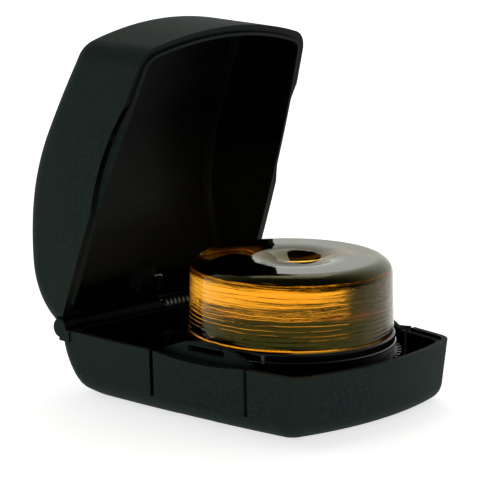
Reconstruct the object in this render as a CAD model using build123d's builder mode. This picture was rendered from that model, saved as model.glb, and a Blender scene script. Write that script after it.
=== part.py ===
"""Pocket case with a turning cake of bow rosin, lid open.

X runs across the case along the hinge, -Y points to the opening side, +Z is up.
The origin lies on the floor, under the middle of the case.
"""
import os
from math import radians, tan

from build123d import *

os.makedirs("parts", exist_ok=True)

# ---- case outline, seen from above ------------------------------------------------
RIM_Z = 11.9           # height of the parting plane between base and closed lid
SEAM = 0.3             # gap between the two rims when the lid is shut
SIDE_R = 358.0         # bow of the side walls
SIDE_Y = 27.5          # where the case is widest
HALF_WIDTH = 25.5      # half the width there
FRONT_R = 65.0         # bow of the front wall
FRONT_Y = -30.8        # foremost point of the rim
CORNER_R = 4.8         # front corners
WALL = 2.1             # wall at the rim
LIP_OUT = 1.4          # the lid's inner lip starts this far inside the outer face
LIP_IN = 1.98          # ends here, just short of the wall's inner face
LIP_DROP = 0.5         # and stands this far below the lid's rim
LEDGE_OUT = 1.1        # the base's ledge for that lip
LEDGE_Z = 11.15
BASE_TOP = RIM_Z - SEAM / 2
LID_RIM = RIM_Z + SEAM / 2

# ---- side views: distance in front of the hinge axis, distance from the rim --------
BASE_SIDE = ((-1.5, 0), (-0.3, 5.7), (2.3, 9.65), (5.7, 11.35), (9.6, 11.75))
LID_SIDE = ((-1.5, 0), (-1.1, 4.4), (1.65, 10.4), (6.9, 14.6), (15.7, 18.1), (31.7, 19.9), (48.7, 18.05))
LID_INSIDE = ((-0.3, 0), (1.75, 7.9), (7.7, 14.35), *LID_SIDE[4:])
CROWN_R = 150.0        # cross curve of the lid's top
FLOOR = 1.6
LID_TOP = 1.5
BASE_DRAFT, BASE_LEAN, BASE_EDGE_R = 2.0, 6.5, 3.6
LID_DRAFT, LID_LEAN, LID_EDGE_R = 1.0, 18.0, 4.1
LID_INNER_LEAN = 14.0

# ---- hinge -----------------------------------------------------------------------
HINGE_Y, HINGE_Z = 29.05, 11.9
LID_OPEN = 70.4        # degrees from shut to the stop
BARREL_R = 1.9
TRENCH_R = 2.2         # room around the barrel in the other shell
PIN_R = 0.75
PIN_BORE_R = 0.8
PIN_HALF = 23.8
BACK_WALL_Y = 26.0     # inner face of both rear walls, in front of the barrel
STOP_Z = 10.5          # top of the base's wall behind the barrel
BASE_KNUCKLES = ((-25.8, -20.4), (-8.0, -0.6), (20.4, 25.8))
LID_KNUCKLES = ((-20.1, -8.3), (9.2, 20.1))
HINGE_AXIS = Axis((0, HINGE_Y, HINGE_Z), (1, 0, 0))

# ---- latch tabs ------------------------------------------------------------------
TAB_FRONT, TAB_BACK = -16.6, 5.1
TAB_MID = (TAB_FRONT + TAB_BACK) / 2
SLIT = 0.85
TAB_FOOT_Z = 3.2
TAB_FOOT_R = 0.75
TAB_FOOT_CLEAR = 0.05
TAB_FOOT_SEAM = 0.04
TAB_FOOT_GAP = 0.16
TAB_RISE = 2.6         # crescent above the rim
TAB_HALF = 10.0        # half the crescent's length at the rim
CRESCENT_OUT, CRESCENT_IN = 2.4, 3.4
CRESCENT_Z0 = 10.3
DISH_DEPTH = 0.75
SCALLOP_DEPTH = 1.25
POCKET_Y = (TAB_MID - 4.3, TAB_MID + 4.3)

# ---- turntable and cake ----------------------------------------------------------
SPIN_Y = -6.35
GEAR_TIP_R, GEAR_ROOT_R = 20.5, 19.7
GEAR_TEETH = 66
GEAR_Z0, GEAR_Z1 = 8.5, 10.0
HUB_R, HUB_Z0 = 5.8, 3.2
POST_R, POST_BORE_R, POST_TOP = 2.0, 2.05, 9.2
SCREW_HOLE_R = 0.9
WASHER_R = 3.6
CUP_R = 19.25
CUP_Z0, CUP_Z1 = 10.0, 13.55
GLUE_R = 16.8
CAKE_R, CAKE_TOP_R, CAKE_EDGE_R = 19.0, 18.6, 3.0
CAKE_Z0, CAKE_Z1 = 13.65, 27.3
DIMPLE_R, DIMPLE_DEPTH = 10.8, 2.3

# ---- spring ----------------------------------------------------------------------
WIRE_R = 0.35
COIL_R = 1.3
COIL_X0, COIL_X1 = 0.3, 8.2
LID_ARM_X = -0.1
TOWER_X, TOWER_W, TOWER_REACH = -3.2, 4.0, 8.6


def side_x(y, inset=0.0):
    """Half width of the rim at y, measured to a line inset from the outer face."""
    return HALF_WIDTH - SIDE_R + ((SIDE_R - inset) ** 2 - (y - SIDE_Y) ** 2) ** 0.5


def side_profile(nodes, inset, flat_end):
    """Side view as a face: tangent arcs through the nodes, moved inwards by inset."""
    points = [Vector(HINGE_Y - ahead, up) for ahead, up in nodes]
    tangents = [Vector(0, 1)]
    for start, end in zip(points, points[1:]):
        chord = (end - start).normalized()
        tangents.append(chord * (2 * chord.dot(tangents[-1])) - tangents[-1])
    if flat_end:
        tangents[-1] = Vector(-1, 0)
    inner = [point + Vector(-t.Y, t.X) * inset for point, t in zip(points, tangents)]
    with BuildSketch() as side:
        with BuildLine():
            rear = Line(inner[0] - Vector(0, 12), inner[0])
            last = rear
            for point in inner[1:]:
                last = TangentArc(last @ 1, point, tangent=last % 1)
            front = last @ 1 + tangents[-1] * 60
            Polyline(last @ 1, front, (front.X, -12), rear @ 0)
        make_face()
    return side.sketch


def plan_face(inset, corner_r, back_y):
    """Outline of the rim, inset from the outer face and cut off at back_y."""
    with BuildSketch() as plan:
        with Locations((HALF_WIDTH - SIDE_R, SIDE_Y)):
            Circle(SIDE_R - inset)
        with Locations((SIDE_R - HALF_WIDTH, SIDE_Y)):
            Circle(SIDE_R - inset, mode=Mode.INTERSECT)
        with Locations((0, FRONT_Y + FRONT_R)):
            Circle(FRONT_R - inset, mode=Mode.INTERSECT)
        with Locations((0, back_y - 40)):
            Rectangle(80, 80, mode=Mode.INTERSECT)
        fillet(plan.vertices().group_by(Axis.Y)[0], corner_r)
    return plan.sketch


def shell_form(profile, inset, height, draft, lean, corner_r, edge_r, crown_r=None):
    """Solid shape of one shell: rim on the XY plane, closed face up."""
    with BuildPart() as form:
        with BuildSketch():
            with Locations((HALF_WIDTH - SIDE_R, SIDE_Y)):
                Circle(SIDE_R - inset)
            with Locations((SIDE_R - HALF_WIDTH, SIDE_Y)):
                Circle(SIDE_R - inset, mode=Mode.INTERSECT)
            Rectangle(80, 120, mode=Mode.INTERSECT)
        extrude(amount=height, taper=draft)
        front_r = FRONT_R - inset
        with BuildSketch(Plane.XZ.offset(-(FRONT_Y + FRONT_R))):
            with BuildLine():
                Polyline(
                    (0, 0),
                    (front_r, 0),
                    (front_r - height * tan(radians(lean)), height),
                    (0, height),
                    close=True,
                )
            make_face()
        revolve(axis=Axis((0, FRONT_Y + FRONT_R, 0), (0, 0, 1)), mode=Mode.INTERSECT)
        fillet(form.edges().filter_by(is_front_corner), corner_r)
        with BuildSketch(Plane.YZ):
            add(profile)
        if crown_r:
            revolve(axis=Axis((0, 0, -crown_r), (0, 1, 0)), mode=Mode.INTERSECT)
        else:
            extrude(amount=40, both=True, mode=Mode.INTERSECT)
        upper = form.edges().filter_by(lambda e: e.bounding_box().max.Z > 0.01)
        fillet(upper.filter_by(lambda e: not is_front_corner(e)), edge_r)
    return form.part


def is_front_corner(edge):
    """True for the near-upright edges at the two front corners."""
    return edge.center().Y < -20 and abs(edge.tangent_at(0.5).Z) > 0.8


def lid_form(nodes, inset, top_inset, lean):
    profile = side_profile(nodes, top_inset, False)
    solid = shell_form(profile, inset, 24, LID_DRAFT, lean, CORNER_R - inset, LID_EDGE_R - inset, CROWN_R)
    return solid.moved(Location((0, 0, LID_RIM)))


def base_form(inset, floor):
    profile = side_profile(BASE_SIDE, floor, True)
    depth = BASE_TOP - floor
    solid = shell_form(profile, inset, depth, BASE_DRAFT, BASE_LEAN, CORNER_R - inset, BASE_EDGE_R - inset)
    return solid.mirror(Plane.XY).moved(Location((0, 0, BASE_TOP)))


def along_hinge(spans, radius):
    """Cylinders on the hinge axis, one for each span of X."""
    with BuildPart() as rods:
        for start, end in spans:
            with BuildSketch(Plane.YZ.offset(start)):
                with Locations((HINGE_Y, HINGE_Z)):
                    Circle(radius)
            extrude(amount=end - start)
    return rods.part


def blocks(boxes):
    """Plain boxes given as (x0, x1), (y0, y1), (z0, z1)."""
    with BuildPart() as solid:
        for (x0, x1), (y0, y1), (z0, z1) in boxes:
            with Locations(((x0 + x1) / 2, (y0 + y1) / 2, (z0 + z1) / 2)):
                Box(x1 - x0, y1 - y0, z1 - z0)
    return solid.part


def lens(half_length, rise, base_z, flip):
    """Bulging or hanging lens at the tabs, running right across the case."""
    with BuildPart() as solid:
        with BuildSketch(Plane.YZ):
            with BuildLine():
                start, end = (TAB_MID - half_length, base_z), (TAB_MID + half_length, base_z)
                ThreePointArc(start, (TAB_MID, base_z + flip * rise), end)
                Polyline(end, (end[0], base_z - flip * 3), (start[0], base_z - flip * 3), start)
            make_face()
        extrude(amount=40, both=True)
    return solid.part


lid_outer = lid_form(LID_SIDE, 0, 0, LID_LEAN)
lid_inner = lid_form(LID_INSIDE, WALL, LID_TOP, LID_INNER_LEAN)
base_outer = base_form(0, 0)
base_inner = base_form(WALL, FLOOR)
cavity_zone = blocks([((-40, 40), (-60, BACK_WALL_Y), (-5, 60))])
trench = along_hinge([(-40, 40)], TRENCH_R)
bore = along_hinge([(-PIN_HALF - 0.2, PIN_HALF + 0.2)], PIN_BORE_R)

# ---- base ------------------------------------------------------------------------
base_webs = blocks([(span, (BACK_WALL_Y + 0.3, HINGE_Y), (9.6, BASE_TOP)) for span in BASE_KNUCKLES])

with BuildPart() as base_barrel:
    add(along_hinge(BASE_KNUCKLES, BARREL_R))
    ends = base_barrel.edges().filter_by(GeomType.CIRCLE).sort_by(Axis.X)
    fillet([ends[0], ends[-1]], 0.5)

with BuildPart() as base_cavity:
    add(base_inner)
    add(cavity_zone, mode=Mode.INTERSECT)
    fillet(base_cavity.edges().filter_by(lambda e: e.center().Y > 25.5 and abs(e.tangent_at(0.5).Z) > 0.8), 1.8)

with BuildPart() as base_whole:
    add(base_outer)
    add(base_cavity.part, mode=Mode.SUBTRACT)
    with BuildSketch(Plane.XY.offset(LEDGE_Z)):
        add(plan_face(LEDGE_OUT, CORNER_R - LEDGE_OUT, 24.6))
    extrude(amount=2, mode=Mode.SUBTRACT)
    # room for the lid's knuckles, and the stop for its rear wall
    add(trench, mode=Mode.SUBTRACT)
    add(blocks([((-40, 40), (HINGE_Y, 40), (STOP_Z, 14))]), mode=Mode.SUBTRACT)
    add(base_webs)
    add(base_barrel.part)
    add(bore, mode=Mode.SUBTRACT)

# ---- latch tabs: a tongue of the side wall, a foot to bend on and a crescent -------
# The tongue is cut from the left wall; its foot lies along the wall, half way through it.
foot_x0 = -side_x(TAB_BACK, WALL / 2) + (RIM_Z - TAB_FOOT_Z) * tan(radians(BASE_DRAFT))
foot_x1 = -side_x(TAB_FRONT, WALL / 2) + (RIM_Z - TAB_FOOT_Z) * tan(radians(BASE_DRAFT))
foot_dir = Vector(foot_x1 - foot_x0, TAB_FRONT - TAB_BACK, 0).normalized()
foot_mid = Vector((foot_x0 + foot_x1) / 2 - 0.1, TAB_MID, TAB_FOOT_Z)
foot_plane = Plane(origin=foot_mid, x_dir=(0, 0, 1), z_dir=foot_dir)

tab_span = (TAB_FRONT + SLIT / 2, TAB_BACK - SLIT / 2)
hole_span = (TAB_FRONT - SLIT / 2, TAB_BACK + SLIT / 2)
tongue_box = blocks([((-40, -12), tab_span, (TAB_FOOT_Z + TAB_FOOT_SEAM / 2, 14))])

with BuildPart() as wall_slice:
    add(base_whole.part)
    add(tongue_box, mode=Mode.INTERSECT)

with BuildPart() as crescent:
    with BuildSketch(Plane.XY.offset(CRESCENT_Z0)):
        add(plan_face(CRESCENT_OUT, CORNER_R, 24))
        add(plan_face(CRESCENT_IN, CORNER_R, 24), mode=Mode.SUBTRACT)
    extrude(amount=6)
    add(lens(TAB_HALF, TAB_RISE, RIM_Z, 1), mode=Mode.INTERSECT)
    add(blocks([((-40, 0), (-40, 40), (CRESCENT_Z0, 20))]), mode=Mode.INTERSECT)

with BuildPart() as tab_bridge:
    with BuildSketch(Plane.XY.offset(CRESCENT_Z0)):
        add(plan_face(WALL - 0.4, CORNER_R, 24))
        add(plan_face(CRESCENT_IN, CORNER_R, 24), mode=Mode.SUBTRACT)
        with Locations((-20, TAB_MID)):
            Rectangle(40, 2 * TAB_HALF - 1, mode=Mode.INTERSECT)
    extrude(amount=LEDGE_Z - CRESCENT_Z0)

with BuildPart() as foot_rod:
    with BuildSketch(foot_plane.offset(-(tab_span[1] - tab_span[0]) / 2)):
        Circle(TAB_FOOT_R)
    extrude(amount=tab_span[1] - tab_span[0])

with BuildPart() as foot_groove:
    with BuildSketch(foot_plane.offset(-(hole_span[1] - hole_span[0]) / 2)):
        Circle(TAB_FOOT_R + TAB_FOOT_CLEAR)
    extrude(amount=hole_span[1] - hole_span[0])

# room below the inner half of the tongue, which dips as the tab is squeezed
with BuildPart() as foot_relief:
    with BuildSketch(foot_plane.offset(-(hole_span[1] - hole_span[0]) / 2)):
        with Locations((0, -1.7)):
            Rectangle(TAB_FOOT_GAP, 3.4)
    extrude(amount=hole_span[1] - hole_span[0])

# and room for the lid's lip above it
with BuildPart() as lip_relief:
    with BuildSketch(Plane.XY.offset(LEDGE_Z + 0.2)):
        add(plan_face(0.7, CORNER_R - 0.7, 24))
        add(plan_face(WALL, CORNER_R - WALL, 24), mode=Mode.SUBTRACT)
    extrude(amount=2)

with BuildPart() as left_latch_tab:
    add(wall_slice.part)
    add(foot_relief.part, mode=Mode.SUBTRACT)
    add(lip_relief.part, mode=Mode.SUBTRACT)
    add(crescent.part)
    add(tab_bridge.part)
    add(foot_rod.part)
    # finger dish in the outer top edge
    with BuildSketch(Plane.YZ.offset(-30)):
        with BuildLine():
            dish = ThreePointArc(
                (tab_span[0], BASE_TOP + 0.02),
                (TAB_MID, BASE_TOP - DISH_DEPTH),
                (tab_span[1], BASE_TOP + 0.02),
            )
            Polyline(dish @ 1, (tab_span[1], 16), (tab_span[0], 16), dish @ 0)
        make_face()
    extrude(amount=30 - side_x(TAB_MID, 1.9), mode=Mode.SUBTRACT)
    # slot under the catch bead, and the bead
    with BuildSketch(Plane.YZ.offset(-30)):
        with Locations((TAB_MID, RIM_Z + 1.05)):
            SlotOverall(8.5, 1.15)
    extrude(amount=14, mode=Mode.SUBTRACT)
    bead_x = -side_x(TAB_MID, CRESCENT_OUT)
    with BuildSketch(Plane.XZ.offset(-TAB_MID - 3.6)):
        with Locations((bead_x + 0.05, RIM_Z + 2.0)):
            Circle(0.28)
    extrude(amount=7.2)

# ---- turntable -------------------------------------------------------------------
with BuildPart() as turntable_gear:
    with BuildSketch(Plane.XY.offset(GEAR_Z0)):
        Circle(GEAR_ROOT_R)
        with PolarLocations(GEAR_ROOT_R - 0.1, GEAR_TEETH):
            Trapezoid(1.15, 2 * (GEAR_TIP_R - GEAR_ROOT_R) + 0.2, 80, rotation=-90)
    extrude(amount=GEAR_Z1 - GEAR_Z0)
    with BuildSketch(Plane.XY.offset(HUB_Z0)):
        Circle(HUB_R)
    extrude(amount=GEAR_Z0 - HUB_Z0)
    # recess for the washer and screw head, then the running bore
    with BuildSketch(Plane.XY.offset(POST_TOP - 0.15)):
        Circle(WASHER_R + 0.5)
    extrude(amount=3, mode=Mode.SUBTRACT)
    with BuildSketch():
        Circle(POST_BORE_R)
    extrude(amount=20, mode=Mode.SUBTRACT)
    # ribs under the disc
    with BuildSketch(Plane.XY.offset(GEAR_Z0 - 0.9)):
        Circle(16.5)
        Circle(15.5, mode=Mode.SUBTRACT)
        with PolarLocations(10.5, 6):
            Rectangle(10.5, 0.9)
        Circle(HUB_R - 0.5, mode=Mode.SUBTRACT)
    extrude(amount=1.0)

with BuildPart() as cake_cup:
    with BuildSketch(Plane.XZ):
        with BuildLine():
            Polyline((0, 11.55), (0, CUP_Z1 - 0.25), (GLUE_R + 0.1, CUP_Z1 - 0.25), (GLUE_R + 0.1, CUP_Z1))
            Line((GLUE_R + 0.1, CUP_Z1), (CUP_R - 0.35, CUP_Z1))
            TangentArc((CUP_R - 0.35, CUP_Z1), (CUP_R, CUP_Z1 - 0.45), tangent=(1, 0))
            Polyline(
                (CUP_R, CUP_Z1 - 0.45), (CUP_R, 12.0), (CUP_R + 0.2, 11.85), (CUP_R + 0.2, 11.65),
                (CUP_R - 0.25, 11.5), (CUP_R - 0.9, CUP_Z0), (6.2, CUP_Z0), (6.2, 11.55), (0, 11.55),
            )
        make_face()
    revolve(axis=Axis.Z)

with BuildPart() as pivot_washer:
    with BuildSketch(Plane.XY.offset(POST_TOP)):
        Circle(WASHER_R)
        Circle(1.2, mode=Mode.SUBTRACT)
    extrude(amount=0.5)

with BuildPart() as pivot_screw:
    with BuildSketch(Plane.XY.offset(POST_TOP - 5.0)):
        Circle(SCREW_HOLE_R)
    extrude(amount=5.5)
    with BuildSketch(Plane.XY.offset(POST_TOP + 0.5)):
        Circle(2.3)
    extrude(amount=1.3)
    fillet(pivot_screw.edges().group_by(Axis.Z)[-1], 0.5)
    with BuildSketch(Plane.XY.offset(POST_TOP + 1.8)):
        Rectangle(2.2, 0.5)
        Rectangle(0.5, 2.2)
    extrude(amount=-0.8, mode=Mode.SUBTRACT)

with BuildPart() as adhesive_disc:
    with BuildSketch(Plane.XY.offset(CUP_Z1 - 0.25)):
        Circle(GLUE_R)
    extrude(amount=CAKE_Z0 - CUP_Z1 + 0.25)

with BuildPart() as rosin_cake:
    with BuildSketch(Plane.XZ):
        with BuildLine():
            Polyline((0, CAKE_Z1 - DIMPLE_DEPTH), (0, CAKE_Z0), (CAKE_R, CAKE_Z0), (CAKE_TOP_R, CAKE_Z1), (DIMPLE_R, CAKE_Z1))
            Bezier(
                (DIMPLE_R, CAKE_Z1),
                (DIMPLE_R - 5, CAKE_Z1),
                (5, CAKE_Z1 - DIMPLE_DEPTH),
                (0, CAKE_Z1 - DIMPLE_DEPTH),
            )
        make_face()
    revolve(axis=Axis.Z)
    rims = rosin_cake.edges().filter_by(GeomType.CIRCLE)
    fillet(rims.filter_by(lambda e: e.radius > 18 and e.center().Z > 20), CAKE_EDGE_R)
    fillet(rosin_cake.edges().filter_by(lambda e: e.center().Z < CAKE_Z0 + 0.01), 0.5)

# click spring: a leaf bent to a nose beside the teeth, its ends held in two posts
with BuildPart() as click_spring:
    nose_y = SPIN_Y + GEAR_TIP_R + 0.3
    with BuildSketch(Plane.XY.offset(GEAR_Z0 + 0.1)):
        with BuildLine() as leaf_line:
            FilletPolyline(
                (-8.2, nose_y + 2.6),
                (-2.4, nose_y + 2.2),
                (0, nose_y + 0.2),
                (2.4, nose_y + 2.2),
                (8.2, nose_y + 2.6),
                radius=0.5,
            )
        trace(leaf_line.line, line_width=0.36)
    extrude(amount=1.3)

# ---- finish the base -------------------------------------------------------------
with BuildPart() as base_shell:
    add(base_whole.part)
    # windows and slits for the two tongues, with a groove for each foot
    windows = [
        ((-40, -12), hole_span, (TAB_FOOT_Z - TAB_FOOT_SEAM / 2, 30)),
        ((12, 40), hole_span, (TAB_FOOT_Z - TAB_FOOT_SEAM / 2, 30)),
    ]
    add(blocks(windows), mode=Mode.SUBTRACT)
    for relief in (foot_groove.part, foot_relief.part):
        add(relief, mode=Mode.SUBTRACT)
        add(relief.mirror(Plane.YZ), mode=Mode.SUBTRACT)
    # pivot post
    with BuildSketch(Plane.XY.offset(FLOOR - 0.1)):
        with Locations((0, SPIN_Y)):
            Circle(4.6)
    extrude(amount=HUB_Z0 - 0.05 - FLOOR + 0.1)
    with BuildSketch(Plane.XY.offset(FLOOR)):
        with Locations((0, SPIN_Y)):
            Circle(POST_R)
    extrude(amount=POST_TOP - FLOOR)
    with BuildSketch(Plane.XY.offset(POST_TOP - 5.5)):
        with Locations((0, SPIN_Y)):
            Circle(SCREW_HOLE_R + 0.02)
    extrude(amount=8, mode=Mode.SUBTRACT)
    # posts of the click spring
    with BuildSketch(Plane.XY.offset(FLOOR - 0.1)):
        with Locations((-8.2, nose_y + 2.6), (8.2, nose_y + 2.6)):
            Rectangle(2.4, 2.6)
    extrude(amount=GEAR_Z1 + 0.2 - FLOOR)
    with BuildSketch(Plane.XY.offset(GEAR_Z0)):
        with Locations((0, nose_y + 2.58)):
            Rectangle(17.4, 0.7)
    extrude(amount=4, mode=Mode.SUBTRACT)
    # notch and seat of the spring's base leg
    add(blocks([((COIL_X1 - 0.7, COIL_X1 + 0.7), (24, HINGE_Y), (10.05, 13))]), mode=Mode.SUBTRACT)
    add(blocks([((COIL_X1 - 0.9, COIL_X1 + 0.9), (21.2, 23.4), (FLOOR - 0.1, 10.6 - WIRE_R))]))


# ---- lid, built shut -------------------------------------------------------------
lid_webs = blocks([(span, (BACK_WALL_Y + 0.3, HINGE_Y + 1.7), (LID_RIM, LID_RIM + 2.2)) for span in LID_KNUCKLES])

with BuildPart() as lid_cavity:
    add(lid_inner)
    add(cavity_zone, mode=Mode.INTERSECT)
    fillet(lid_cavity.edges().filter_by(lambda e: e.center().Y > 25.5 and abs(e.tangent_at(0.5).Z) > 0.8), 1.8)

with BuildPart() as scallop:
    with BuildSketch(Plane.XY.offset(LID_RIM - 1)):
        Rectangle(80, 80)
        add(plan_face(LIP_OUT, CORNER_R - LIP_OUT, 30), mode=Mode.SUBTRACT)
    extrude(amount=4)
    add(lens((TAB_BACK - TAB_FRONT) / 2, SCALLOP_DEPTH, LID_RIM, 1), mode=Mode.INTERSECT)

with BuildPart() as lid_shell:
    add(lid_outer)
    add(lid_cavity.part, mode=Mode.SUBTRACT)
    add(scallop.part, mode=Mode.SUBTRACT)
    with BuildSketch(Plane.XY.offset(LID_RIM + 0.2)):
        add(plan_face(LIP_OUT, CORNER_R - LIP_OUT, 24.2))
        add(plan_face(LIP_IN, CORNER_R - LIP_IN, 30), mode=Mode.SUBTRACT)
    extrude(amount=-LIP_DROP - 0.2)
    # pockets for the catch beads
    pocket_x = side_x(TAB_MID, LIP_OUT + 0.3)
    add(blocks([((-pocket_x, pocket_x), POCKET_Y, (LID_RIM + 0.45, LID_RIM + 2.8))]), mode=Mode.SUBTRACT)
    add(trench, mode=Mode.SUBTRACT)
    add(lid_webs)
    add(along_hinge(LID_KNUCKLES, BARREL_R))
    add(bore, mode=Mode.SUBTRACT)
    # notch for the spring's arm, and the tower that holds it
    add(blocks([((LID_ARM_X - 0.7, LID_ARM_X + 0.7), (24, HINGE_Y), (12, 14))]), mode=Mode.SUBTRACT)
    with BuildSketch(Plane.XY.offset(LID_RIM + 0.9)):
        with Locations((TOWER_X, HINGE_Y - TOWER_REACH + TOWER_W / 2)):
            Circle(TOWER_W / 2)
        with Locations((TOWER_X, (HINGE_Y - TOWER_REACH + TOWER_W / 2 + BACK_WALL_Y + 0.2) / 2)):
            Rectangle(TOWER_W, BACK_WALL_Y + 0.2 - (HINGE_Y - TOWER_REACH + TOWER_W / 2))
    extrude(amount=3.2)
    add(blocks([((TOWER_X + 0.6, 4), (20, 24.6), (HINGE_Z + 0.85, HINGE_Z + 1.75))]), mode=Mode.SUBTRACT)

# ---- hinge pin and spring ----------------------------------------------------------
with BuildPart() as hinge_pin:
    add(along_hinge([(-PIN_HALF, PIN_HALF)], PIN_R))
    chamfer(hinge_pin.edges(), 0.2)

# the spring sits as it is with the lid open; its long leg presses on the base
coil_start = LID_OPEN + 14
coil_turns = 7 + (180 - coil_start) / 360
with BuildPart() as coil:
    with BuildLine() as coil_line:
        winding = Helix(
            (COIL_X1 - COIL_X0) / coil_turns,
            COIL_X1 - COIL_X0,
            COIL_R,
            center=(COIL_X0, HINGE_Y, HINGE_Z),
            direction=(1, 0, 0),
            lefthand=True,
        )
        Line(winding @ 1, winding @ 1 + Vector(0, -7.2, 0).rotate(Axis.X, coil_start))
    with BuildSketch(Plane(origin=winding @ 0, z_dir=winding % 0)):
        Circle(WIRE_R)
    sweep(path=coil_line.line, is_frenet=True, transition=Transition.TRANSFORMED)

with BuildPart() as spring_lid_arm:
    with BuildLine() as arm_line:
        arm_z = HINGE_Z + COIL_R
        arm_end = HINGE_Y - 6.4
        FilletPolyline(
            (LID_ARM_X, HINGE_Y, arm_z),
            (LID_ARM_X, arm_end, arm_z),
            (TOWER_X + 1.0, arm_end, arm_z),
            radius=0.8,
        )
    with BuildSketch(Plane(origin=arm_line.line @ 0, z_dir=arm_line.line % 0)):
        Circle(WIRE_R)
    sweep(path=arm_line.line)

# ---- name, open the lid, export ----------------------------------------------------
spin = Location((0, SPIN_Y, 0))
nodes = {
    "base_shell": base_shell.part,
    "left_latch_tab": left_latch_tab.part,
    "right_latch_tab": left_latch_tab.part.mirror(Plane.YZ),
    "hinge_pin": hinge_pin.part,
    "torsion_spring": coil.part.rotate(HINGE_AXIS, -coil_start),
    "click_spring": click_spring.part,
    "pivot_washer": pivot_washer.part.moved(spin),
    "pivot_screw": pivot_screw.part.moved(spin),
    "turntable_gear": turntable_gear.part.moved(spin),
    "cake_cup": cake_cup.part.moved(spin),
    "adhesive_disc": adhesive_disc.part.moved(spin),
    "rosin_cake": rosin_cake.part.moved(spin),
    "lid_shell": lid_shell.part.rotate(HINGE_AXIS, -LID_OPEN),
    "spring_lid_arm": spring_lid_arm.part.rotate(HINGE_AXIS, -LID_OPEN),
}
for name, part in nodes.items():
    part.label = name
    export_step(part, f"parts/{name}.step")
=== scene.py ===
"""Looks for the bow rosin case: materials, floor, light and camera."""
import math

import bmesh
import bpy
from mathutils import Matrix, Vector


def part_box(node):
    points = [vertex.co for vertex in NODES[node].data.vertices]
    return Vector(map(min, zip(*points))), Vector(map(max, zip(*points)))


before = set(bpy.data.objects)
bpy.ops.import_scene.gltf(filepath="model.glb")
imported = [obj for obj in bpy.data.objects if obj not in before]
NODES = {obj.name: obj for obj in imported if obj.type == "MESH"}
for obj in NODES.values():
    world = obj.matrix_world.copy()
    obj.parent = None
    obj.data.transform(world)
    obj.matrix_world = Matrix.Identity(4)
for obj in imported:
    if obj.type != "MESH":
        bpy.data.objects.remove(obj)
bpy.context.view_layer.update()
scene = bpy.context.scene

# ---- camera: azimuth and elevation of the view, distance and aim in metres --------------
VIEW_AZ, VIEW_EL, VIEW_ROLL = -45.629, 11.625, 0.18
VIEW_DIST = 0.421061
AIM_RIGHT, AIM_UP = -0.004734, 0.029253
FOCAL_PX, IMAGE_W, SENSOR = 2273.055, 482, 36.0


def make_camera():
    az, el, roll = (math.radians(v) for v in (VIEW_AZ, VIEW_EL, VIEW_ROLL))
    back = Vector((math.sin(az) * math.cos(el), -math.cos(az) * math.cos(el), math.sin(el)))
    right = Vector((math.cos(az), math.sin(az), 0))
    up = back.cross(right)
    across = math.cos(roll) * right + math.sin(roll) * up
    above = -math.sin(roll) * right + math.cos(roll) * up
    data = bpy.data.cameras.new("camera")
    data.sensor_width = SENSOR
    data.lens = FOCAL_PX * SENSOR / IMAGE_W
    data.clip_start, data.clip_end = 0.01, 20
    camera = bpy.data.objects.new("camera", data)
    scene.collection.objects.link(camera)
    pos = right * AIM_RIGHT + Vector((0, 0, AIM_UP)) + back * VIEW_DIST
    camera.matrix_world = Matrix(
        (
            (across.x, above.x, back.x, pos.x),
            (across.y, above.y, back.y, pos.y),
            (across.z, above.z, back.z, pos.z),
            (0, 0, 0, 1),
        )
    )
    scene.camera = camera


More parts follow.
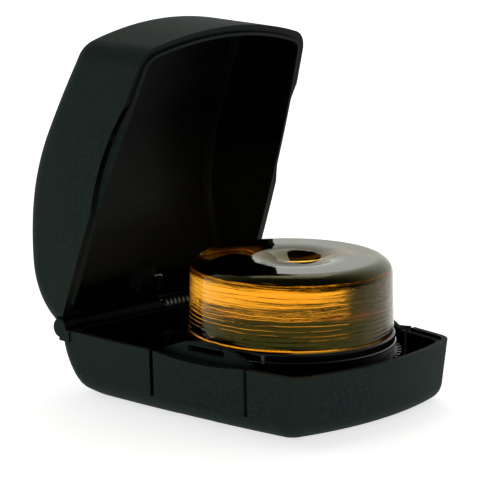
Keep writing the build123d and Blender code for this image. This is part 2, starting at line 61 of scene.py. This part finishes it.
# ---- node helpers -----------------------------------------------------------------------
class Shader:
    """A material's node tree, with short calls for the nodes used here."""

    def __init__(self, name):
        self.material = bpy.data.materials.new(name)
        self.material.use_nodes = True
        self.tree = self.material.node_tree
        self.tree.nodes.clear()
        self.output = self.tree.nodes.new("ShaderNodeOutputMaterial")
        self.bsdf = self.node("BsdfPrincipled")
        self.link(self.bsdf.outputs[0], self.output.inputs["Surface"])
        self.coords = self.node("TexCoord")

    def node(self, kind, **values):
        made = self.tree.nodes.new("ShaderNode" + kind)
        for key, value in values.items():
            setattr(made, key, value)
        return made

    def link(self, source, target):
        self.tree.links.new(source, target)

    def put(self, value, socket):
        """A socket's input: another socket, or a plain value."""
        if isinstance(value, bpy.types.NodeSocket):
            self.link(value, socket)
        else:
            socket.default_value = value

    def set(self, **values):
        for key, value in values.items():
            self.put(value, self.bsdf.inputs[key.replace("_", " ")])

    def position(self, scale=(1, 1, 1), offset=(0, 0, 0), turn=(0, 0, 0)):
        """Position on the piece, in metres, scaled per axis."""
        mapping = self.node("Mapping")
        mapping.inputs["Location"].default_value = offset
        mapping.inputs["Rotation"].default_value = turn
        mapping.inputs["Scale"].default_value = scale
        self.link(self.coords.outputs["Object"], mapping.inputs["Vector"])
        return mapping.outputs[0]

    def noise(self, vector, scale, detail=3.0, rough=0.5, distortion=0.0):
        made = self.node("TexNoise")
        self.put(vector, made.inputs["Vector"])
        made.inputs["Scale"].default_value = scale
        made.inputs["Detail"].default_value = detail
        made.inputs["Roughness"].default_value = rough
        made.inputs["Distortion"].default_value = distortion
        return made.outputs["Fac"]

    def math(self, operation, a, b=0.0):
        made = self.node("Math", operation=operation)
        for value, socket in zip((a, b), made.inputs):
            self.put(value, socket)
        return made.outputs[0]

    def vector(self, operation, a, b=(0, 0, 0)):
        made = self.node("VectorMath", operation=operation)
        self.put(a, made.inputs[0])
        self.put(b, made.inputs[1])
        return made

    def split(self, vector):
        made = self.node("SeparateXYZ")
        self.link(vector, made.inputs[0])
        return made.outputs

    def ramp(self, value, low, high, out_low=0.0, out_high=1.0, smooth=True):
        made = self.node("MapRange", interpolation_type="SMOOTHSTEP" if smooth else "LINEAR")
        for socket, v in zip(made.inputs, (value, low, high, out_low, out_high)):
            self.put(v, socket)
        return made.outputs[0]

    def mix(self, factor, a, b):
        made = self.node("Mix", data_type="RGBA")
        self.put(factor, made.inputs["Factor"])
        self.put(a, made.inputs[6])
        self.put(b, made.inputs[7])
        return made.outputs[2]

    def blend(self, factor, a, b):
        """Like mix, for plain numbers."""
        made = self.node("Mix", data_type="FLOAT")
        self.put(factor, made.inputs["Factor"])
        self.put(a, made.inputs[2])
        self.put(b, made.inputs[3])
        return made.outputs[0]

    def combine(self, x, y):
        made = self.node("CombineXYZ")
        self.put(x, made.inputs[0])
        self.put(y, made.inputs[1])
        return made.outputs[0]

    def bump(self, height, distance, strength=1.0, normal=None):
        made = self.node("Bump")
        made.inputs["Strength"].default_value = strength
        made.inputs["Distance"].default_value = distance
        self.link(height, made.inputs["Height"])
        if normal:
            self.link(normal, made.inputs["Normal"])
        return made.outputs[0]


def rgb(r, g, b):
    return (r, g, b, 1.0)


# ---- colours, linear ----------------------------------------------------------------------
CASE_DARK = rgb(0.0114, 0.0198, 0.0184)
CASE_LIGHT = rgb(0.0202, 0.0335, 0.0310)
CASE_WORN = rgb(0.0180, 0.0272, 0.0222)
# inside colours: the smoother inside plastic, set far darker than the outside, partly its finish
# and partly painted shade for the hollow
SHADED_INSIDE_DARK = rgb(0.0010, 0.0010, 0.0009)
SHADED_INSIDE_LIGHT = rgb(0.0026, 0.0027, 0.0022)
# painted light: a yellowish glow for light thrown back into the lid's hollow by the cake and base
BOUNCE_GLOW = rgb(0.022, 0.021, 0.0135)
GLUE_DARK, GLUE_LIGHT = rgb(0.05, 0.03, 0.015), rgb(0.07, 0.045, 0.022)
RESIN = rgb(1.0, 0.93, 0.78)
RESIN_SHEEN = rgb(0.78, 0.7, 0.14)
RESIN_DEPTH = rgb(0.995, 0.775, 0.01)

# ---- moulded surface ------------------------------------------------------------------------
EDGE_BLEND = 0.06       # softness of the border between grained and smooth faces
SPEC_INSIDE, SPEC_OUTSIDE = 0.06, 0.03
# heights of the painted band of thrown-back light low in the lid's hollow
BOUNCE_FLOOR, BOUNCE_FULL, BOUNCE_MID, BOUNCE_TOP = 0.0155, 0.0195, 0.021, 0.048

# ---- rosin: rings per metre of height, and the depth of the ripples -----------------------------
RING_RATE, FOLD_RATE = 1150, 420
RIPPLE_DEPTH, SURFACE_DEPTH = 0.00022, 0.00025
RESIN_IOR, RESIN_DENSITY = 1.525, 115.0


# ---- moulded case: spark-eroded grain outside, smoother inside darkened with painted shade ---
def case_material(name, centre, threshold, bounce_lit):
    """centre is a point in the hollow; faces that look towards it are the smooth ones, given a
    darker colour that is partly painted shade.

    The last argument paints a faint yellowish band low in the hollow: painted light standing for
    light thrown back by the rosin cake and base."""
    s = Shader(name)
    inward = s.vector("SUBTRACT", s.coords.outputs["Object"], centre)
    unit = s.vector("NORMALIZE", inward.outputs[0])
    facing = s.vector("DOT_PRODUCT", unit.outputs[0], s.coords.outputs["Normal"])
    outside = s.ramp(facing.outputs["Value"], threshold - EDGE_BLEND, threshold + EDGE_BLEND)

    grain_big = s.noise(s.position(), 1500, 2.0, 0.6)
    grain_fine = s.noise(s.position(offset=(0.3, 0.1, 0.7)), 3600, 2.0, 0.6)
    grain = s.math("ADD", s.math("MULTIPLY", grain_big, 0.6), s.math("MULTIPLY", grain_fine, 0.4))
    patches = s.noise(s.position(), 55, 4.0, 0.55)
    smudge = s.noise(s.position(scale=(1, 1, 2.2), turn=(0.3, 0.2, 0.5)), 120, 5.0, 0.6, 0.6)

    outer = s.mix(s.ramp(grain, 0.35, 0.65), CASE_DARK, CASE_LIGHT)
    outer = s.mix(s.ramp(patches, 0.35, 0.7), outer, CASE_WORN)
    # inside colour: smoother plastic with random smudges, darkened well below the outside as
    # painted shade for the hollow
    shaded_inner = s.mix(s.ramp(smudge, 0.3, 0.75), SHADED_INSIDE_DARK, SHADED_INSIDE_LIGHT)
    # painted light: a yellowish band low in the hollow, standing for light thrown back by the cake
    # and base
    if bounce_lit:
        height = s.split(s.position())[2]
        rise = s.ramp(height, BOUNCE_FLOOR, BOUNCE_FULL)
        glow_band = s.math("MULTIPLY", rise, s.ramp(height, BOUNCE_TOP, BOUNCE_MID))
        glow_band = s.math("MULTIPLY", glow_band, s.ramp(smudge, 0.1, 0.8, 0.6, 1.0))
        shaded_inner = s.mix(glow_band, shaded_inner, BOUNCE_GLOW)
    s.set(Base_Color=s.mix(outside, shaded_inner, outer))
    rough_out = s.ramp(grain, 0.3, 0.7, 0.5, 0.66, smooth=False)
    rough_in = s.ramp(smudge, 0.3, 0.75, 0.28, 0.4, smooth=False)
    s.set(Roughness=s.blend(outside, rough_in, rough_out))
    s.set(Specular_IOR_Level=s.blend(outside, SPEC_INSIDE, SPEC_OUTSIDE))
    height = s.math("MULTIPLY", grain, s.ramp(outside, 0, 1, 0.12, 1.0, smooth=False))
    s.set(Normal=s.bump(height, 0.00006, 0.8))
    return s.material


def plain_black(name, colour, rough, spec, grain=0.3):
    """Black moulded plastic with faint flow marks."""
    s = Shader(name)
    flow = s.noise(s.position(), 90, 5.0, 0.6, 1.2)
    fine = s.noise(s.position(offset=(0.2, 0.4, 0.1)), 900, 3.0, 0.6)
    dark = rgb(*(c * 0.75 for c in colour))
    light = rgb(*(c * 1.35 for c in colour))
    s.set(Base_Color=s.mix(s.ramp(flow, 0.3, 0.7), dark, light))
    s.set(Roughness=s.ramp(fine, 0.3, 0.7, rough * 0.85, rough * 1.2, smooth=False))
    s.bsdf.inputs["Specular IOR Level"].default_value = spec
    s.set(Normal=s.bump(fine, 0.00004, grain))
    return s.material


def steel_material(name, light, dark):
    s = Shader(name)
    lines = s.noise(s.position(scale=(0.08, 1, 1)), 5200, 3.0, 0.7)
    stain = s.noise(s.position(), 260, 4.0, 0.6)
    s.set(Base_Color=s.mix(s.ramp(stain, 0.35, 0.75), rgb(*light), rgb(*dark)))
    s.bsdf.inputs["Metallic"].default_value = 1.0
    s.set(Roughness=s.ramp(lines, 0.3, 0.7, 0.2, 0.38, smooth=False))
    s.set(Normal=s.bump(lines, 0.00002, 0.4))
    return s.material


def adhesive_material(name):
    s = Shader(name)
    cells = s.noise(s.position(), 260, 4.0, 0.6)
    s.set(Base_Color=s.mix(s.ramp(cells, 0.3, 0.7), GLUE_DARK, GLUE_LIGHT))
    s.bsdf.inputs["Roughness"].default_value = 0.6
    s.set(Normal=s.bump(cells, 0.00005, 0.3))
    return s.material


def rosin_material(name, spin_y):
    """Clear amber resin that takes out blue and green, with cast ripples round its side."""
    s = Shader(name)
    place = s.position(offset=(0, -spin_y, 0))
    x, y, z = s.split(place)
    turn = s.math("ARCTAN2", x, y)
    wave = s.noise(s.position(scale=(60, 60, 20)), 1.0, 3.0, 0.5)
    drift = s.math("MULTIPLY", wave, 0.0016)
    level = s.math("ADD", z, drift)
    ring_level = s.math("MULTIPLY", level, RING_RATE)
    rings = s.noise(s.combine(turn, ring_level), 1.0, 4.0, 0.62, 0.25)
    broad = s.combine(s.math("MULTIPLY", turn, 1.1), s.math("MULTIPLY", level, FOLD_RATE))
    folds = s.noise(broad, 1.0, 2.0, 0.5, 0.2)
    normal = s.split(s.coords.outputs["Normal"])
    on_side = s.ramp(s.math("ABSOLUTE", normal[2]), 0.75, 0.3)
    phase = s.math("FRACT", s.math("ADD", ring_level, s.math("MULTIPLY", folds, 1.3)))
    line = s.ramp(s.math("ABSOLUTE", s.math("SUBTRACT", phase, 0.5)), 0.0, 0.14)
    grooves = s.math("MAXIMUM", line, s.ramp(rings, 0.42, 0.62))
    height = s.math("ADD", s.math("MULTIPLY", grooves, 0.11), s.math("MULTIPLY", folds, 0.5))
    height = s.math("ADD", height, s.math("MULTIPLY", rings, 0.22))
    height = s.math("MULTIPLY", height, on_side)
    ripple = s.bump(height, RIPPLE_DEPTH, 1.0)
    soft = s.noise(s.position(), 130, 3.0, 0.5)
    s.set(Normal=s.bump(soft, SURFACE_DEPTH, 0.25, ripple))
    s.set(Base_Color=RESIN)
    s.bsdf.inputs["Transmission Weight"].default_value = 1.0
    s.bsdf.inputs["IOR"].default_value = RESIN_IOR
    s.bsdf.inputs["Specular Tint"].default_value = RESIN_SHEEN
    s.bsdf.inputs["Roughness"].default_value = 0.03
    volume = s.node("VolumeAbsorption")
    volume.inputs["Color"].default_value = RESIN_DEPTH
    volume.inputs["Density"].default_value = RESIN_DENSITY
    s.link(volume.outputs[0], s.output.inputs["Volume"])
    return s.material


# ---- world, floor, light ------------------------------------------------------------------
def make_world():
    """A white studio: the far side of the room is bright, the near side dim."""
    world = bpy.data.worlds.new("studio")
    world.use_nodes = True
    tree = world.node_tree
    tree.nodes.clear()
    out = tree.nodes.new("ShaderNodeOutputWorld")
    coords = tree.nodes.new("ShaderNodeTexCoord")
    toward = tree.nodes.new("ShaderNodeVectorMath")
    toward.operation = "DOT_PRODUCT"
    az = math.radians(VIEW_AZ)
    toward.inputs[1].default_value = (-math.sin(az), math.cos(az), -0.25)
    tree.links.new(coords.outputs["Generated"], toward.inputs[0])
    spread = tree.nodes.new("ShaderNodeMapRange")
    spread.interpolation_type = "SMOOTHSTEP"
    for socket, v in zip(list(spread.inputs)[1:5], (-0.35, 0.6, 0.09, 1.05)):
        socket.default_value = v
    tree.links.new(toward.outputs["Value"], spread.inputs[0])
    lit = tree.nodes.new("ShaderNodeBackground")
    lit.inputs["Color"].default_value = rgb(0.97, 1, 0.94)
    tree.links.new(spread.outputs[0], lit.inputs["Strength"])
    seen = tree.nodes.new("ShaderNodeBackground")
    seen.inputs["Color"].default_value = rgb(1, 1, 1)
    seen.inputs["Strength"].default_value = 1.05
    path = tree.nodes.new("ShaderNodeLightPath")
    pick = tree.nodes.new("ShaderNodeMixShader")
    tree.links.new(path.outputs["Is Camera Ray"], pick.inputs[0])
    tree.links.new(lit.outputs[0], pick.inputs[1])
    tree.links.new(seen.outputs[0], pick.inputs[2])
    tree.links.new(pick.outputs[0], out.inputs["Surface"])
    scene.world = world


def make_floor():
    mesh = bpy.data.meshes.new("floor")
    b = bmesh.new()
    bmesh.ops.create_grid(b, x_segments=1, y_segments=1, size=3.0)
    b.to_mesh(mesh)
    b.free()
    floor = bpy.data.objects.new("floor", mesh)
    floor.location.z = -0.00005
    scene.collection.objects.link(floor)
    s = Shader("floor_paper")
    fibre = s.noise(s.position(), 300, 3.0, 0.6)
    s.set(Base_Color=s.mix(fibre, rgb(0.86, 0.86, 0.86), rgb(0.9, 0.9, 0.9)))
    s.bsdf.inputs["Roughness"].default_value = 0.9
    s.bsdf.inputs["Specular IOR Level"].default_value = 0.1
    s.bsdf.inputs["Emission Color"].default_value = rgb(1, 1, 1)
    s.bsdf.inputs["Emission Strength"].default_value = 0.72
    mesh.materials.append(s.material)


def area_light(name, place, target, size, power):
    data = bpy.data.lights.new(name, "AREA")
    data.shape = "RECTANGLE"
    data.size, data.size_y = size
    data.energy = power
    light = bpy.data.objects.new(name, data)
    light.location = place
    aim = Vector(target) - Vector(place)
    light.rotation_euler = aim.to_track_quat("-Z", "Y").to_euler()
    scene.collection.objects.link(light)


def give(material, *names):
    for name in names:
        slots = NODES[name].data.materials
        slots.clear()
        slots.append(material)


make_camera()
make_world()
make_floor()
area_light("top_softbox", (0.25, 0.35, 0.75), (0, 0, 0.02), (0.6, 0.6), 1.2)

SPIN_Y = (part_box("cake_cup")[0].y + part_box("cake_cup")[1].y) / 2
LID_HOLLOW = (0, 0.0194, 0.0421)
BASE_HOLLOW = (0, -0.001, 0.0085)

# the lid's hollow gets the painted band of thrown-back light
lid_plastic = case_material("case_lid", LID_HOLLOW, 0.06, True)
base_plastic = case_material("case_base", BASE_HOLLOW, 0.0, False)
give(lid_plastic, "lid_shell")
give(base_plastic, "base_shell", "left_latch_tab", "right_latch_tab")
give(plain_black("gear_plastic", (0.007, 0.007, 0.007), 0.38, 0.4), "turntable_gear")
give(plain_black("cup_plastic", (0.004, 0.004, 0.004), 0.12, 0.5, grain=0.05), "cake_cup")
spring_steel = steel_material("spring_steel", (0.2, 0.195, 0.185), (0.11, 0.105, 0.095))
bright_steel = steel_material("bright_steel", (0.62, 0.61, 0.6), (0.45, 0.44, 0.42))
give(spring_steel, "torsion_spring", "spring_lid_arm", "click_spring")
give(bright_steel, "hinge_pin", "pivot_screw", "pivot_washer")
give(adhesive_material("adhesive"), "adhesive_disc")
give(rosin_material("rosin", SPIN_Y), "rosin_cake")

scene.view_settings.view_transform = "Standard"
scene.view_settings.look = "None"
